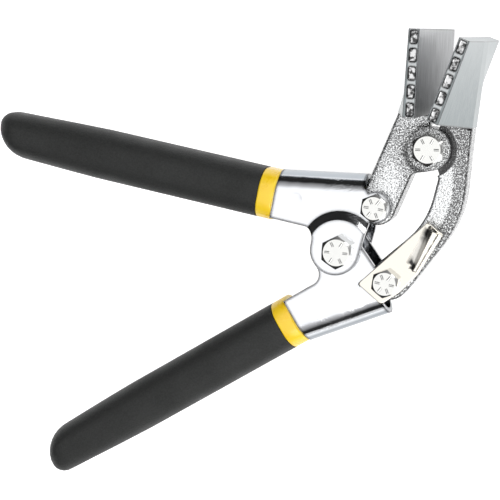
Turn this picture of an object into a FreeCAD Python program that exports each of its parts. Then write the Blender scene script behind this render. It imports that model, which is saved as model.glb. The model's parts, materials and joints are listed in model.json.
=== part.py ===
import FreeCAD, Part
import math
import os

from FreeCAD import Vector

# Wide-jaw hand seamer, millimetres.
# The model is drawn with the handle pivot at the origin and the handles spread evenly about -X.
# +Y is the side of the upper handle, and +Z is the side of the bolt heads.
# floor_shift then moves every piece so that the whole object's bottom centre is the origin.

# Linkage, in its open position
LINK_RADIUS = 21.4            # handle pivot to each link bolt
LINK_ANGLE = 41.3             # each link bolt's direction, from +X
SHORT_ARM_LENGTH = 29.1       # upper link bolt to jaw pivot
LONG_ARM_LENGTH = 51.75       # lower link bolt to jaw pivot
HANDLE_ANGLE = 21.15          # each handle's direction, from -X

# Bolts
PIVOT_BOLT_RADIUS = 3.175
LINK_BOLT_RADIUS = 2.4
RUNNING_CLEARANCE = 0.05
PIVOT_HEAD_FLATS = 11.1
PIVOT_HEAD_HEIGHT = 4.2
LINK_HEAD_FLATS = 9.5
LINK_HEAD_HEIGHT = 3.6
HEAD_CHAMFER_SHARE = 0.9      # top circle of a head, as a share of its width across flats
HEAD_CHAMFER_ANGLE = 30.0
NUT_HEIGHT = 5.0
BOLT_END_LENGTH = 1.2         # shank that stands past its nut
GRADE_MARK_LENGTH = 1.9
GRADE_MARK_RADIUS = 0.45      # half-round bars
GRADE_MARK_HEIGHT = 0.3
GRADE_MARK_INSET = 0.6        # from the head's top circle to a mark's outer end
END_CHAMFER = 0.5
WASHER_THICKNESS = 0.8
WASHER_RADIUS = 6.2
LINK_WASHER_PLAY = 0.1        # between an arm and each washer beside it
WAVE_WASHER_INSET = 1.2       # its rim, from the rim of the handle's link lobe
HANDLE_HEAD_TURN = 17.0       # how far each head and nut has been turned, from +X
HANDLE_NUT_TURN = 5.0
JAW_HEAD_TURN = 20.0
JAW_NUT_TURN = 14.0
UPPER_LINK_HEAD_TURN = 12.0
UPPER_LINK_NUT_TURN = 22.0
LOWER_LINK_HEAD_TURN = 11.0
LOWER_LINK_NUT_TURN = 3.0

# Handles: pressed channels with a full-round back
SHEET = 2.0
CHANNEL_HALF_WIDTH = 8.5
BEND_HEIGHT_AT_COLLAR = 15.9  # where the flange's bend begins, from the handle pivot's own line
WEB_TAPER = 9.6               # degrees between the web and the grip
EAR_RADIUS = 9.4
EAR_SHIFT = 1.6               # ear's centre, from the handle pivot towards the grip
EAR_PAD_MARGIN = 0.9          # the raised pad's edge, past the other handle's ear
EAR_RAMP = 3.2
EAR_RAMP_THINNING = 0.35      # how far the ramp's inner side stands in, as a share of the sheet
EAR_GAP = 0.3                 # between the two handles' ears
LINK_LOBE_RADIUS = 5.9
LOBE_INNER_AHEAD = 0.2        # where the flange's open edge and front end leave the lobe,
LOBE_INNER_ASIDE = 0.97       # as shares of its radius
LOBE_OUTER_AHEAD = 0.75
LINK_WASHER_RADIUS = 3.5      # stays on the flange's flat, short of its bend
FLANGE_EDGE_HEIGHT = 6.0      # open edge of the channel, from the handle pivot's own line
FLANGE_CORNER_RADIUS = 4.5
CHANNEL_FRONT = 2.5           # web's front end, ahead of the handle pivot
CHANNEL_FRONT_LEAN = 1.6      # how far the front end leans ahead at the link bolt
DIMPLE_RADIUS = 2.4
DIMPLE_DEPTH = 0.18
DIMPLE_AHEAD = 20.5           # punch mark's place, from the handle pivot towards the grip
DIMPLE_ASIDE = 15.4

# Grips and collars
COLLAR_START = 29.2
COLLAR_LENGTH = 6.3
UPPER_GRIP_END = 145.8        # butt, from the handle pivot
LOWER_GRIP_END = 149.4
GRIP_OFFSET = 14.2            # grip's centre line, from the handle pivot's own line
GRIP_SIDE_WALL = 3.1          # grip's wall over the tang's back and open side
GRIP_FACE_WALL = 2.5          # grip's wall over the tang's flanges
GRIP_CORNER = 7.6
BUTT_TAPER_LENGTH = 42.0
BUTT_TAPER = 1.3              # each side's run in over that length
BUTT_OUTER_RADIUS = 5.0
BUTT_INNER_RADIUS = 11.0
BUTT_FACE_RADIUS = 8.0        # rounding of the butt towards the bolts' two sides
TANG_WIDTH = 13.0
TANG_STEP = 1.1               # tang's flanges stand in from the channel's by this
TANG_END_MARGIN = 16.0        # grip left solid past the tang's end
TANG_CLEARANCE = 0.02
TANG_OVERLAP = 4.0            # tang's length inside the wider channel

# Jaws
ARM_HALF_THICKNESS = 5.5
LAP_CLEARANCE = 0.15          # each half lap stands off the mid-plane by this
BOSS_RADIUS = 8.1
RECESS_GAP = 2.2              # between a boss and the recess it turns in
SPOT_FACE_DEPTH = 0.9
SHORT_JAW_ANGLE = 77.6        # gripping face's direction from +X
LONG_JAW_ANGLE = 59.1
BLADE_WIDTH = 76.2
TIP_REACH = 44.1              # jaw pivot to the blades' tips
JAW_DEPTH = 31.0
BLADE_TIP_THICKNESS = 3.9
BLADE_END_THICKNESS = 4.4     # at the blade's base, at each end of its width
RIDGE_TIP_THICKNESS = 4.4
RIDGE_BASE_THICKNESS = 12.2
POCKET_COUNT = 5
POCKET_PITCH = 6.35
POCKET_LENGTH = 4.9
POCKET_WIDTH = 2.9
POCKET_DEPTH = 1.1
POCKET_EDGE = 0.45            # metal left between a pocket and the gripping face
POCKET_TIP_MARGIN = 0.4       # metal left between the first pocket and the blade's tip
POCKET_CORNER = 0.8
POCKET_BOWL = 0.7             # rounding between a pocket's walls and its floor
SHORT_ARM_END_RADIUS = 7.0
LONG_ARM_END_RADIUS = 7.4
ELBOW_RADIUS = 2.5            # short arm's inner corner under its boss
BOW_OUTER_PLACE = 0.588       # long arm's bends, as shares of its length from the link bolt
BOW_INNER_PLACE = 0.489
BOW_OUTER = 19.8              # how far each edge stands off the line between its two bolts
BOW_INNER = 7.0
BOW_OUTER_RADIUS = 40.0
BOW_INNER_RADIUS = 30.0
ARM_FOOT_LEAN = 25.6          # degrees between that line and the arm's foot
ARM_FOOT_LENGTH = 4.0
ARM_NOTCH_RIGHT = 1.6         # where the long arm's inner edge meets the recess
ARM_NOTCH_DROP = 3.2
LINK_TRAVEL_CLEARANCE = 1.15  # extra radius of the short arm's link hole
CAST_EDGE = 1.3
BLADE_ROOT = 0.01             # blade's overlap with its arm
BLADE_OVERSIZE = 1.0          # past each end, before the blade's ends are trimmed

# Latch
LATCH_SHEET = 1.5
LATCH_GAP = 0.45              # wave washer's space under the latch
LATCH_ANGLE = 36.5
LATCH_BACK = 8.2
LATCH_REACH = 28.1
LATCH_BACK_WIDTH = 7.4        # inner edge, at the back and at the far end
LATCH_FAR_WIDTH = 5.1
LATCH_OUTER_WIDTH = 6.0
LATCH_OUTER_BACK_WIDTH = 4.3
LATCH_OUTER_FAR_WIDTH = 2.2
LATCH_END_LEAN = 0.9          # the far end's inner corner stands back by this
LATCH_CORNER = 0.8
LATCH_SIDE_RADIUS = 8.0
LATCH_WAIST = 1.4             # where the outer edge is widest, from the link bolt
LIP_START = 10.9              # the thumb lip's low end, from the link bolt
LIP_HEIGHT = 4.4
LIP_LOW_HEIGHT = 2.4
LIP_LOW_WIDTH = 3.4
LIP_END_MARGIN = 0.6          # lip's ends and foot, from the plate's edges
LIP_CREST_SHARE = 0.55        # crest's place across the lip, from its inner side

# Opening spring
SPRING_WIRE_RADIUS = 0.7
SPRING_TURNS = 5
SPRING_GAP = 0.35             # between neighbouring turns
SPRING_PLAY = 0.4             # between the coil and its sleeve
SPRING_LEG_REACH = 24.0       # where each leg bears on its handle's web
SPRING_LEG_INSET = 8.0
SPRING_STEP_ANGLE = 60.0      # where the steps between turns are, from +X
JOINED_WIRE_SHARE = 0.9       # thickness of the legs and of the steps between turns
SLEEVE_WALL = 1.175

# Reach of the shapes that only cut or trim
THROUGH = 20.0
OVERRUN = 30.0

# Cosines between which an edge counts as along or square to a direction
ALONG = 0.99
SQUARE = 0.01


def polar(radius, degrees):
    return Vector(radius * math.cos(math.radians(degrees)), radius * math.sin(math.radians(degrees)), 0)


HANDLE_PIVOT = Vector(0, 0, 0)
UPPER_LINK = polar(LINK_RADIUS, LINK_ANGLE)
LOWER_LINK = polar(LINK_RADIUS, -LINK_ANGLE)


def crossing(centre_a, radius_a, centre_b, radius_b):
    """The right-hand crossing of two circles, seen from a towards b."""
    span = centre_b.sub(centre_a)
    gap = span.Length
    along = (gap ** 2 + radius_a ** 2 - radius_b ** 2) / (2 * gap)
    aside = math.sqrt(radius_a ** 2 - along ** 2)
    unit = Vector(span.x / gap, span.y / gap, 0)
    side = Vector(unit.y, -unit.x, 0)
    return centre_a + unit * along + side * aside


JAW_PIVOT = crossing(LOWER_LINK, LONG_ARM_LENGTH, UPPER_LINK, SHORT_ARM_LENGTH)

WEB_HEIGHT_AT_COLLAR = BEND_HEIGHT_AT_COLLAR + CHANNEL_HALF_WIDTH
EAR_OUTER = CHANNEL_HALF_WIDTH + EAR_GAP + SHEET
TANG_HALF_THICKNESS = CHANNEL_HALF_WIDTH - TANG_STEP
GRIP_WIDTH = TANG_WIDTH + 2 * GRIP_SIDE_WALL
GRIP_THICKNESS = 2 * (TANG_HALF_THICKNESS + GRIP_FACE_WALL)
EAR_PAD_RADIUS = EAR_RADIUS + EAR_SHIFT + EAR_PAD_MARGIN
RECESS_RADIUS = BOSS_RADIUS + RECESS_GAP
SLEEVE_RADIUS = PIVOT_BOLT_RADIUS + RUNNING_CLEARANCE + SLEEVE_WALL
SPRING_COIL_RADIUS = SLEEVE_RADIUS + SPRING_PLAY + SPRING_WIRE_RADIUS
LATCH_BOTTOM = CHANNEL_HALF_WIDTH + LATCH_GAP
LATCH_TOP = LATCH_BOTTOM + LATCH_SHEET
TIP_TO_BASE = TIP_REACH - JAW_DEPTH


class Frame:
    """A flat frame: an origin, a direction and the direction a quarter turn to its side."""

    def __init__(self, origin, degrees, side):
        self.origin = origin
        self.ahead = polar(1, degrees)
        self.side = Vector(-side * self.ahead.y, side * self.ahead.x, 0)

    def at(self, ahead, side, height=0.0):
        return self.origin + self.ahead * ahead + self.side * side + Vector(0, 0, height)


UPPER_FRAME = Frame(HANDLE_PIVOT, 180 - HANDLE_ANGLE, -1)
LOWER_FRAME = Frame(HANDLE_PIVOT, 180 + HANDLE_ANGLE, 1)
SHORT_JAW_FRAME = Frame(JAW_PIVOT, SHORT_JAW_ANGLE, 1)
LONG_JAW_FRAME = Frame(JAW_PIVOT, LONG_JAW_ANGLE, -1)


def polygon_prism(points, bottom, top):
    flat = [Vector(point.x, point.y, bottom) for point in points]
    wire = Part.makePolygon(flat + [flat[0]])
    return Part.Face(wire).extrude(Vector(0, 0, top - bottom))


def cylinder(centre, radius, bottom, top):
    return Part.makeCylinder(radius, top - bottom, Vector(centre.x, centre.y, bottom))


def drilled(body, centre, radius):
    return body.cut(cylinder(centre, radius, -THROUGH, THROUGH))


def ring(centre, inner, outer, bottom, top):
    return cylinder(centre, outer, bottom, top).cut(cylinder(centre, inner, bottom, top))


def rounded_prism(corners, bottom, top):
    """A prism whose corners are given as (point, radius); each radius becomes an arc."""
    prism = polygon_prism([point for point, radius in corners], bottom, top)
    for point, radius in corners:
        if radius > 0:
            edge = nearest_upright_edge(prism, point)
            prism = prism.makeFillet(radius, [edge])
    return prism


def nearest_upright_edge(solid, point):
    def distance(edge):
        middle = edge.CenterOfMass
        return math.hypot(middle.x - point.x, middle.y - point.y)

    upright = [edge for edge in solid.Edges if abs(edge.tangentAt(edge.FirstParameter).z) > ALONG]
    return min(upright, key=distance)


def one_solid(shape):
    clean = shape.removeSplitter()
    solids = sorted(clean.Solids, key=lambda solid: solid.Volume)
    return solids[-1]


# Bolts, nuts and washers

def hexagon(centre, flats, vertex_angle, bottom, top):
    corner = flats / math.sqrt(3)
    points = [centre + polar(corner, vertex_angle + 60 * turn) for turn in range(6)]
    return polygon_prism(points, bottom, top)


def chamfer_cone(centre, flats, bottom, top, facing):
    """The turned shape that rounds a hexagon's corners on its outer side."""
    circle = HEAD_CHAMFER_SHARE * flats / 2
    slope = math.tan(math.radians(HEAD_CHAMFER_ANGLE))
    height = top - bottom
    foot = circle + height / slope
    if facing > 0:
        return Part.makeCone(foot, circle, height, Vector(centre.x, centre.y, bottom))
    return Part.makeCone(circle, foot, height, Vector(centre.x, centre.y, bottom))


def grade_marks(centre, flats, vertex_angle, level):
    marks = []
    start = HEAD_CHAMFER_SHARE * flats / 2 - GRADE_MARK_LENGTH - GRADE_MARK_INSET
    for turn in range(6):
        foot = Vector(start, 0, GRADE_MARK_HEIGHT - GRADE_MARK_RADIUS)
        bar = Part.makeCylinder(GRADE_MARK_RADIUS, GRADE_MARK_LENGTH, foot, Vector(1, 0, 0))
        bar.rotate(Vector(0, 0, 0), Vector(0, 0, 1), vertex_angle + 60 * (turn + 0.5))
        bar.translate(Vector(centre.x, centre.y, level))
        marks.append(bar)
    return marks


def bolt(centre, radius, flats, head_height, seat, end, vertex_angle):
    top = seat + head_height
    head = hexagon(centre, flats, vertex_angle, seat, top)
    head = head.common(chamfer_cone(centre, flats, seat, top, 1))
    shank = cylinder(centre, radius, end, seat + END_CHAMFER)
    tip_edges = [edge for edge in shank.Edges if edge.BoundBox.ZMax < end + END_CHAMFER]
    shank = shank.makeChamfer(END_CHAMFER, tip_edges)
    whole = head.fuse(shank)
    for mark in grade_marks(centre, flats, vertex_angle, top):
        whole = whole.fuse(mark)
    return one_solid(whole)


def nut(centre, radius, flats, seat, vertex_angle):
    """A nut whose seat is its upper face."""
    body = hexagon(centre, flats, vertex_angle, seat - NUT_HEIGHT, seat)
    body = body.common(chamfer_cone(centre, flats, seat - NUT_HEIGHT, seat, -1))
    return one_solid(drilled(body, centre, radius))


# Handles

def web_line(ahead):
    """Height of the channel's outer line at a distance from the handle pivot."""
    return WEB_HEIGHT_AT_COLLAR + (COLLAR_START - ahead) * math.tan(math.radians(WEB_TAPER))


def channel(frame, half_width, start, end, web_at, depth):
    """A full-round channel: the back follows web_at, and the flanges run in by depth."""
    near = frame.at(start, web_at(start))
    far = frame.at(end, web_at(end))
    run = far.sub(near)
    inward = Vector(run.y, -run.x, 0).normalize()
    if inward.dot(frame.side) > 0:
        inward = inward * -1

    def section(half):
        bend = near + inward * half_width
        rise = Vector(0, 0, half)
        foot = near + inward * depth
        arc = Part.Arc(bend + rise, bend - inward * half, bend - rise).toShape()
        sides = Part.makePolygon([bend - rise, foot - rise, foot + rise, bend + rise])
        return Part.Face(Part.Wire([arc] + sides.Edges)).extrude(run)

    return section(half_width).cut(section(half_width - SHEET))


def handle_outline(frame, link, bottom, top):
    """The flange's shape, extruded through: ear, link lobe, front end, back and open edge."""
    lobe = cylinder(link, LINK_LOBE_RADIUS, bottom, top)
    ear_centre = frame.at(EAR_SHIFT, 0)
    ear = cylinder(ear_centre, EAR_RADIUS, bottom, top)
    lobe_ahead = link.sub(frame.origin).dot(frame.ahead)
    lobe_side = link.sub(frame.origin).dot(frame.side)
    leave = LINK_LOBE_RADIUS * LOBE_INNER_AHEAD
    front = -CHANNEL_FRONT
    back_margin = CHANNEL_HALF_WIDTH
    corners = [
        (frame.at(COLLAR_START, FLANGE_EDGE_HEIGHT), 0),
        (frame.at(EAR_SHIFT + EAR_RADIUS, FLANGE_EDGE_HEIGHT), FLANGE_CORNER_RADIUS),
        (frame.at(EAR_SHIFT + EAR_RADIUS, 0), 0),
        (frame.at(EAR_SHIFT - EAR_RADIUS, 0), 0),
        (frame.at(lobe_ahead + leave, lobe_side - LINK_LOBE_RADIUS * LOBE_INNER_ASIDE), 0),
        (frame.at(lobe_ahead + LINK_LOBE_RADIUS * LOBE_OUTER_AHEAD, lobe_side + LINK_LOBE_RADIUS), 0),
        (frame.at(front - CHANNEL_FRONT_LEAN, lobe_side + LINK_LOBE_RADIUS), 0),
        (frame.at(front, web_line(front) + back_margin), 0),
        (frame.at(COLLAR_START, web_line(COLLAR_START) + back_margin), 0),
    ]
    plate = rounded_prism(corners, bottom, top)
    return plate.fuse(ear).fuse(lobe).removeSplitter()


def tang(frame, end):
    """The narrower channel inside the grip."""
    inner_half = TANG_HALF_THICKNESS
    outer_line = GRIP_OFFSET + TANG_WIDTH / 2
    start = COLLAR_START - TANG_OVERLAP
    return channel(frame, inner_half, start, end, lambda ahead: outer_line, TANG_WIDTH)


def dimple(frame):
    centre = frame.at(DIMPLE_AHEAD, DIMPLE_ASIDE)
    sphere_radius = (DIMPLE_RADIUS ** 2 + DIMPLE_DEPTH ** 2) / (2 * DIMPLE_DEPTH)
    lift = CHANNEL_HALF_WIDTH - DIMPLE_DEPTH + sphere_radius
    return Part.makeSphere(sphere_radius, Vector(centre.x, centre.y, lift))


def handle_blank(frame, link, grip_end):
    body = channel(frame, CHANNEL_HALF_WIDTH, -OVERRUN, OVERRUN + COLLAR_START, web_line, 2 * OVERRUN)
    body = body.common(handle_outline(frame, link, -CHANNEL_HALF_WIDTH, CHANNEL_HALF_WIDTH))
    body = body.fuse(tang(frame, grip_end - TANG_END_MARGIN))
    return drilled(body, link, LINK_BOLT_RADIUS + RUNNING_CLEARANCE)


def joggled_ears(body, frame, link):
    """Moves the ears of a handle outwards, so that they pass over the other handle's ears."""
    step = EAR_OUTER - CHANNEL_HALF_WIDTH
    for side in (1, -1):
        low, high = sorted((side * CHANNEL_HALF_WIDTH, side * EAR_OUTER))
        layer = handle_outline(frame, link, low, high)
        wide = EAR_PAD_RADIUS + EAR_RAMP
        foot = Vector(0, 0, side * CHANNEL_HALF_WIDTH)
        cone = Part.makeCone(wide, EAR_PAD_RADIUS, step, foot, Vector(0, 0, side))
        body = body.fuse(layer.common(cone))
        inner_foot = Vector(0, 0, side * (CHANNEL_HALF_WIDTH - SHEET))
        thinning = SHEET * EAR_RAMP_THINNING
        hollow = Part.makeCone(wide - thinning, EAR_PAD_RADIUS - thinning, step, inner_foot, Vector(0, 0, side))
        body = body.cut(hollow)
    return body


def upper_handle():
    body = handle_blank(UPPER_FRAME, UPPER_LINK, UPPER_GRIP_END)
    body = joggled_ears(body, UPPER_FRAME, UPPER_LINK)
    body = body.cut(dimple(UPPER_FRAME))
    return one_solid(drilled(body, HANDLE_PIVOT, PIVOT_BOLT_RADIUS + RUNNING_CLEARANCE))


def lower_handle():
    body = handle_blank(LOWER_FRAME, LOWER_LINK, LOWER_GRIP_END)
    return one_solid(drilled(body, HANDLE_PIVOT, PIVOT_BOLT_RADIUS + RUNNING_CLEARANCE))


# Grips and collars

def grip_section(frame, start, end, shrink=0.0):
    """A bar with rounded long edges, from start to end along the handle."""
    def runs_along(edge):
        return abs(edge.tangentAt(edge.FirstParameter).dot(frame.ahead)) > ALONG

    half_side = GRIP_WIDTH / 2 - shrink
    half_height = GRIP_THICKNESS / 2 - shrink
    corners = [
        frame.at(start, GRIP_OFFSET - half_side, -half_height),
        frame.at(start, GRIP_OFFSET + half_side, -half_height),
        frame.at(start, GRIP_OFFSET + half_side, half_height),
        frame.at(start, GRIP_OFFSET - half_side, half_height),
    ]
    face = Part.Face(Part.makePolygon(corners + [corners[0]]))
    bar = face.extrude(frame.ahead * (end - start))
    return bar.makeFillet(GRIP_CORNER, [edge for edge in bar.Edges if runs_along(edge)])


def butt_outline(frame, end):
    inner = GRIP_OFFSET - GRIP_WIDTH / 2
    outer = GRIP_OFFSET + GRIP_WIDTH / 2
    half = GRIP_THICKNESS
    taper_start = end - BUTT_TAPER_LENGTH
    corners = [
        (frame.at(COLLAR_START, inner), 0),
        (frame.at(taper_start, inner), 0),
        (frame.at(end, inner + BUTT_TAPER), BUTT_INNER_RADIUS),
        (frame.at(end, outer - BUTT_TAPER), BUTT_OUTER_RADIUS),
        (frame.at(taper_start, outer), 0),
        (frame.at(COLLAR_START, outer), 0),
    ]
    return rounded_prism(corners, -half, half)


def butt_profile(frame, end):
    """The grip's outline seen from its side, with the butt's two face corners rounded."""
    half = GRIP_THICKNESS / 2
    reach = half - BUTT_FACE_RADIUS
    low = GRIP_OFFSET - GRIP_WIDTH
    bend = end - BUTT_FACE_RADIUS
    middle = BUTT_FACE_RADIUS * math.sqrt(0.5)
    top_arc = Part.Arc(frame.at(bend, low, half), frame.at(bend + middle, low, reach + middle),
                       frame.at(end, low, reach)).toShape()
    bottom_arc = Part.Arc(frame.at(end, low, -reach), frame.at(bend + middle, low, -reach - middle),
                          frame.at(bend, low, -half)).toShape()
    butt = Part.makePolygon([frame.at(end, low, reach), frame.at(end, low, -reach)])
    rest = Part.makePolygon([frame.at(bend, low, -half), frame.at(COLLAR_START, low, -half),
                             frame.at(COLLAR_START, low, half), frame.at(bend, low, half)])
    wire = Part.Wire([top_arc] + butt.Edges + [bottom_arc] + rest.Edges)
    return Part.Face(wire).extrude(frame.side * (2 * GRIP_WIDTH))


def tang_space(frame, start, end, offset):
    """The tang's outer shape, grown by offset, from start to end."""
    half = TANG_HALF_THICKNESS + offset
    inner = GRIP_OFFSET - TANG_WIDTH / 2 - offset
    outer = GRIP_OFFSET + TANG_WIDTH / 2 + offset
    bend = frame.at(start, outer - half)
    rise = Vector(0, 0, half)
    arc = Part.Arc(bend + rise, frame.at(start, outer), bend - rise).toShape()
    foot = frame.at(start, inner)
    sides = Part.makePolygon([bend - rise, foot - rise, foot + rise, bend + rise])
    return Part.Face(Part.Wire([arc] + sides.Edges)).extrude(frame.ahead * (end - start))


def tang_core(frame, start, end):
    """What fills the inside of the tang's channel and its open side."""
    half = TANG_HALF_THICKNESS - SHEET - TANG_CLEARANCE
    low = GRIP_OFFSET - TANG_WIDTH / 2 - TANG_CLEARANCE
    high = low + SHEET + 2 * TANG_CLEARANCE
    corners = [frame.at(start, low), frame.at(start, high), frame.at(end, high), frame.at(end, low)]
    inside = tang_space(frame, start, end, -SHEET - TANG_CLEARANCE)
    return inside.fuse(polygon_prism(corners, -half, half))


def grip(frame, end):
    """A grip moulded round the tang and through the inside of its channel."""
    start = COLLAR_START + COLLAR_LENGTH
    body = grip_section(frame, start, end).common(butt_outline(frame, end)).common(butt_profile(frame, end))
    hole_end = end - TANG_END_MARGIN + TANG_CLEARANCE
    body = body.cut(tang_space(frame, start - COLLAR_LENGTH, hole_end, TANG_CLEARANCE))
    return one_solid(body.fuse(tang_core(frame, start, hole_end)))


def collar(frame):
    end = COLLAR_START + COLLAR_LENGTH
    body = grip_section(frame, COLLAR_START, end)
    hole = tang_space(frame, COLLAR_START - COLLAR_LENGTH, end + COLLAR_LENGTH, TANG_CLEARANCE)
    return one_solid(body.cut(hole))


# Jaws

def section_loop(frame, ahead, end_thickness, ridge_thickness):
    """A blade's section, drawn a little too wide: flat gripping face, thin ends and a flat ridge."""
    half = BLADE_WIDTH / 2 + BLADE_OVERSIZE
    slope = (ridge_thickness - end_thickness) / (BLADE_WIDTH / 2 - ARM_HALF_THICKNESS)
    rim = end_thickness - slope * BLADE_OVERSIZE
    places = [
        (0, -half),
        (0, half),
        (rim, half),
        (ridge_thickness, ARM_HALF_THICKNESS),
        (ridge_thickness, -ARM_HALF_THICKNESS),
        (rim, -half),
    ]
    points = [frame.at(ahead, side, height) for side, height in places]
    return Part.makePolygon(points + [points[0]])


def pocket(frame, ahead, face):
    """One cast pocket in a blade's end face; face is +1 for the front and -1 for the back."""
    outer = POCKET_EDGE + POCKET_WIDTH
    corners = [
        (frame.at(ahead, POCKET_EDGE), POCKET_CORNER),
        (frame.at(ahead - POCKET_LENGTH, POCKET_EDGE), POCKET_CORNER),
        (frame.at(ahead - POCKET_LENGTH, outer), POCKET_CORNER),
        (frame.at(ahead, outer), POCKET_CORNER),
    ]
    level = face * BLADE_WIDTH / 2
    floor_level = level - face * POCKET_DEPTH
    bottom, top = sorted((floor_level, level + face * BLADE_OVERSIZE))
    tool = rounded_prism(corners, bottom, top)
    rim = [edge for edge in tool.Edges if edge.BoundBox.ZLength < POCKET_BOWL
           and abs(edge.CenterOfMass.z - floor_level) < POCKET_BOWL]
    return tool.makeFillet(POCKET_BOWL, rim)


def blade(frame):
    tip = section_loop(frame, TIP_REACH, BLADE_TIP_THICKNESS, RIDGE_TIP_THICKNESS)
    base = section_loop(frame, TIP_TO_BASE, BLADE_END_THICKNESS, RIDGE_BASE_THICKNESS)
    body = Part.makeLoft([base, tip], True, True)
    middle = frame.at((TIP_REACH + TIP_TO_BASE) / 2, 0)
    body = body.common(cylinder(middle, TIP_REACH, -BLADE_WIDTH / 2, BLADE_WIDTH / 2))
    for index in range(POCKET_COUNT):
        ahead = TIP_REACH - POCKET_TIP_MARGIN - index * POCKET_PITCH
        for face in (1, -1):
            body = body.cut(pocket(frame, ahead, face))
    return body


def half_laps(body, keeps_front, other_radius):
    """Cuts the round recess for the other jaw's boss out of one half of the thickness."""
    edge = LAP_CLEARANCE
    if keeps_front:
        gap = cylinder(JAW_PIVOT, other_radius, -THROUGH, edge)
        spot = Part.makeCone(BOSS_RADIUS, BOSS_RADIUS + 2 * SPOT_FACE_DEPTH, SPOT_FACE_DEPTH,
                             Vector(JAW_PIVOT.x, JAW_PIVOT.y, ARM_HALF_THICKNESS - SPOT_FACE_DEPTH))
    else:
        gap = cylinder(JAW_PIVOT, other_radius, -edge, THROUGH)
        spot = Part.makeCone(BOSS_RADIUS + 2 * SPOT_FACE_DEPTH, BOSS_RADIUS, SPOT_FACE_DEPTH,
                             Vector(JAW_PIVOT.x, JAW_PIVOT.y, -ARM_HALF_THICKNESS))
    return body.cut(gap).cut(spot)


def boss(keeps_front):
    seat = ARM_HALF_THICKNESS - SPOT_FACE_DEPTH
    if keeps_front:
        return cylinder(JAW_PIVOT, BOSS_RADIUS, LAP_CLEARANCE, seat)
    return cylinder(JAW_PIVOT, BOSS_RADIUS, -seat, -LAP_CLEARANCE)


def soften(arm):
    """Rounds the cast edges of an arm's two flat sides."""
    rims = [edge for edge in arm.Edges if abs(edge.tangentAt(edge.FirstParameter).z) < SQUARE]
    return arm.makeFillet(CAST_EDGE, rims)


def short_arm_profile():
    """The straight arm: from the blade's base down to the upper link bolt."""
    corner = SHORT_JAW_FRAME.at(TIP_TO_BASE + BLADE_ROOT, RIDGE_BASE_THICKNESS)
    along = UPPER_LINK.sub(corner)
    reach = along.Length
    lean = math.degrees(math.asin(SHORT_ARM_END_RADIUS / reach))
    heading = math.degrees(math.atan2(along.y, along.x))
    outer_tangent = corner + polar(reach * math.cos(math.radians(lean)), heading - lean)
    outward = outer_tangent.sub(UPPER_LINK)
    inner_tangent = UPPER_LINK - outward
    inner_run = corner.sub(outer_tangent)
    run_unit = Vector(inner_run.x, inner_run.y, 0).normalize()
    floor_level = JAW_PIVOT.y - BOSS_RADIUS
    rise = (floor_level - inner_tangent.y) / run_unit.y
    elbow = inner_tangent + run_unit * rise
    corners = [
        (SHORT_JAW_FRAME.at(TIP_TO_BASE + BLADE_ROOT, 0), 0),
        (corner, 0),
        (outer_tangent, 0),
        (UPPER_LINK, 0),
        (inner_tangent, 0),
        (elbow, ELBOW_RADIUS),
        (Vector(JAW_PIVOT.x, floor_level, 0), 0),
        (JAW_PIVOT, 0),
    ]
    arm = rounded_prism(corners, -ARM_HALF_THICKNESS, ARM_HALF_THICKNESS)
    end = cylinder(UPPER_LINK, SHORT_ARM_END_RADIUS, -ARM_HALF_THICKNESS, ARM_HALF_THICKNESS)
    return soften(arm.fuse(end).removeSplitter())


def long_arm_profile():
    """The curved arm: from the blade's base round to the lower link bolt."""
    half = ARM_HALF_THICKNESS
    corner = LONG_JAW_FRAME.at(TIP_TO_BASE + BLADE_ROOT, RIDGE_BASE_THICKNESS)
    span = JAW_PIVOT.sub(LOWER_LINK)
    heading = math.degrees(math.atan2(span.y, span.x))
    chord = Frame(LOWER_LINK, heading, 1)
    foot = Frame(LOWER_LINK, heading - ARM_FOOT_LEAN, 1)
    outer_foot = foot.at(ARM_FOOT_LENGTH, -LONG_ARM_END_RADIUS)
    inner_foot = foot.at(ARM_FOOT_LENGTH, LONG_ARM_END_RADIUS)
    outer_bend = chord.at(BOW_OUTER_PLACE * LONG_ARM_LENGTH, -BOW_OUTER)
    inner_bend = chord.at(BOW_INNER_PLACE * LONG_ARM_LENGTH, -BOW_INNER)
    notch = Vector(JAW_PIVOT.x + ARM_NOTCH_RIGHT, JAW_PIVOT.y - BOSS_RADIUS - ARM_NOTCH_DROP, 0)
    corners = [
        (LONG_JAW_FRAME.at(TIP_TO_BASE + BLADE_ROOT, 0), 0),
        (corner, 0),
        (outer_bend, BOW_OUTER_RADIUS),
        (outer_foot, 0),
        (inner_foot, 0),
        (inner_bend, BOW_INNER_RADIUS),
        (notch, LAP_CLEARANCE),
        (JAW_PIVOT, 0),
    ]
    arm = rounded_prism(corners, -half, half)
    end = cylinder(LOWER_LINK, LONG_ARM_END_RADIUS, -half, half)
    join = polygon_prism([LOWER_LINK + foot.side * LONG_ARM_END_RADIUS, inner_foot, outer_foot,
                          LOWER_LINK - foot.side * LONG_ARM_END_RADIUS], -half, half)
    return soften(arm.fuse(end).fuse(join).removeSplitter())


def short_arm_jaw():
    body = short_arm_profile().fuse(blade(SHORT_JAW_FRAME)).removeSplitter()
    body = half_laps(body, True, RECESS_RADIUS)
    body = body.fuse(boss(True))
    body = drilled(body, JAW_PIVOT, PIVOT_BOLT_RADIUS + RUNNING_CLEARANCE)
    return one_solid(drilled(body, UPPER_LINK, LINK_BOLT_RADIUS + LINK_TRAVEL_CLEARANCE))


def long_arm_jaw():
    body = long_arm_profile().fuse(blade(LONG_JAW_FRAME)).removeSplitter()
    body = half_laps(body, False, RECESS_RADIUS)
    body = body.fuse(boss(False))
    body = drilled(body, JAW_PIVOT, PIVOT_BOLT_RADIUS + RUNNING_CLEARANCE)
    return one_solid(drilled(body, LOWER_LINK, LINK_BOLT_RADIUS + RUNNING_CLEARANCE))


# Latch

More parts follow.
